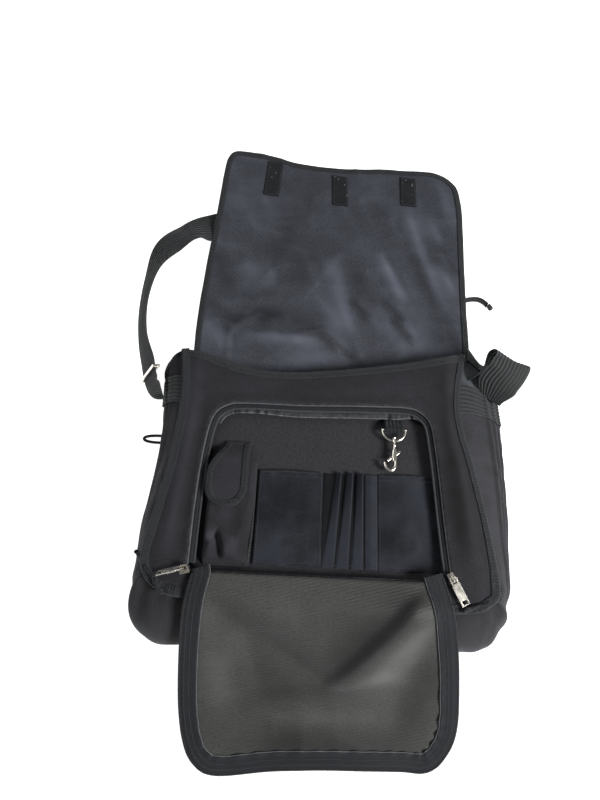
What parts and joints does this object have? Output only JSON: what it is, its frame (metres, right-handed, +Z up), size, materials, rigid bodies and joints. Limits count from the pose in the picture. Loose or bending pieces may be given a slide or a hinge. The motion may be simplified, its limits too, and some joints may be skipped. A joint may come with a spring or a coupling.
{
  "type": "laptop shoulder bag",
  "caption": "Soft shoulder bag lying open on its back, flap thrown back and zipped front pocket folded down over the bottom to show an organiser with a key hook.",
  "frame": {"origin": "middle of the back panel's outer face, on the surface the bag lies on", "axes": "+X across the bag, +Y from its bottom towards its mouth and flap, +Z up from the surface it lies on"},
  "size_m": [0.4907, 0.7961, 0.0824],
  "materials": {
    "canvas": "charcoal-black plain-weave canvas, matt",
    "lining": "blue-grey coated nylon lining with a soft sheen",
    "mesh_lining": "olive-grey fine open-weave lining",
    "binding": "black woven binding tape with stitching",
    "zip_tape": "dark navy zip tape",
    "zip_chain": "black nylon coil",
    "webbing": "black ribbed webbing",
    "nylon": "thin dark nylon with a sheen",
    "hook_tape": "black fastening tape with specks of lint",
    "nickel": "polished nickel plate",
    "cord": "black braided cord and moulded end"
  },
  "bodies": {
    "root": {"back_panel": "canvas", "gusset": "canvas", "front_panel": "canvas", "organiser_panel": "canvas", "front_binding": "binding", "mouth_hem": "binding", "flap": "lining", "flap_binding": "binding", "hook_strip_1": "hook_tape", "hook_strip_2": "hook_tape", "hook_strip_3": "hook_tape", "pocket_panel": "mesh_lining", "panel_zip_tape": "zip_tape", "panel_zip_chain": "zip_chain", "opening_zip_tape": "zip_tape", "opening_zip_chain": "zip_chain", "opening_facing": "binding", "zip_slider_left": "nickel", "zip_slider_right": "nickel", "phone_pocket": "canvas", "phone_flap": "canvas", "card_pocket_left": "nylon", "pen_slots": "nylon", "card_pocket_right": "nylon", "key_tab": "webbing", "shoulder_strap": "webbing", "strap_anchor_left": "webbing", "strap_anchor_right": "webbing", "strap_slider": "nickel", "side_pull_cord": "cord", "flap_pull_cord": "cord", "flap_pull_end": "cord"},
    "pull_left": {"zip_pull_left": "nickel"},
    "pull_right": {"zip_pull_right": "nickel"},
    "eye": {"key_eye": "nickel"},
    "hook": {"key_hook": "nickel"},
    "gate": {"key_gate": "nickel"}
  },
  "joints": [
    {"name": "pull_left_swing", "type": "hinge", "parent": "root", "child": "pull_left", "pos_m": [-0.15188, -0.07546, 0.07665], "axis": [-0.0133, 0.5754, -0.8178], "range_deg": [0, 150]},
    {"name": "pull_right_swing", "type": "hinge", "parent": "root", "child": "pull_right", "pos_m": [0.13595, -0.07439, 0.0746], "axis": [-0.879, -0.4763, -0.0224], "range_deg": [0, 150]},
    {"name": "eye_lift", "type": "hinge", "parent": "root", "child": "eye", "pos_m": [0.078, 0.09296, 0.04218], "axis": [-1, 0, 0], "range_deg": [0, 140]},
    {"name": "hook_swivel", "type": "hinge", "parent": "eye", "child": "hook", "pos_m": [0.078, 0.07906, 0.04386], "axis": [0, 0.9928, -0.1199], "range_deg": [0, 180]},
    {"name": "gate_press", "type": "hinge", "parent": "hook", "child": "gate", "pos_m": [0.078, 0.06168, 0.04596], "axis": [0, 0.1199, 0.9928], "range_deg": [0, 20], "stiffness_Nm_per_rad": 0.002, "springref_deg": -11.46}
  ]
}
